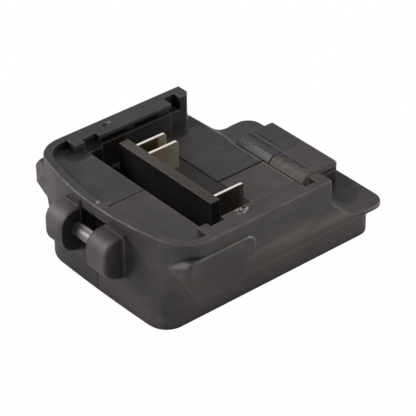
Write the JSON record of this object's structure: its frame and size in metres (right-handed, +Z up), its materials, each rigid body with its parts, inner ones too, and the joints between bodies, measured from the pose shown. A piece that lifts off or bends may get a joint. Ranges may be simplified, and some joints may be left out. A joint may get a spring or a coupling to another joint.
{
  "type": "battery adapter",
  "caption": "Low charcoal adapter body with slide rails and flat contacts on top for a battery pack, a strap pin in front and output sockets at the rear",
  "frame": {"origin": "centre of the whole length and width, on the flat bottom", "axes": "+X along the rails towards the open end where the pack slides in, +Z up out of the battery bay"},
  "size_m": [0.1006, 0.0766, 0.0327],
  "materials": {
    "shell": "fine moulded grain",
    "block": "smooth moulded",
    "contact": "nickel plated, bright cut edges",
    "steel": "satin",
    "board": "solder mask",
    "ferrite": "matte",
    "can": "satin",
    "chip": "matte",
    "fuse": "gloss",
    "tongue": "matte",
    "button": "smooth matte",
    "light": "clear"
  },
  "bodies": {
    "housing": {"housing_near": "shell", "housing_far": "shell", "terminal_block": "block", "blade_plus": "contact", "blade_sense": "contact", "blade_minus": "contact", "circuit_board": "board", "board_screws": "steel", "housing_screws": "steel", "power_inductor": "ferrite", "capacitors": "can", "power_transistors": "chip", "heat_sink": "can", "controller_chip": "chip", "fuse": "fuse", "socket_shell_near": "steel", "socket_shell_far": "steel", "socket_tongues": "tongue", "switch_body": "chip", "status_light": "light"},
    "pin": {"strap_pin": "steel"},
    "button": {"power_button": "button", "switch_plunger": "tongue"}
  },
  "joints": [
    {"name": "strap_pin_turn", "type": "hinge", "parent": "housing", "child": "pin", "pos_m": [-0.04425, 0, 0.02175], "axis": [0, 1, 0], "continuous": true},
    {"name": "power_button_press", "type": "slide", "parent": "housing", "child": "button", "axis": [-1, 0, 0], "range_m": [0, 0.0005], "stiffness_N_per_m": 2500, "springref_m": -0.0004}
  ]
}
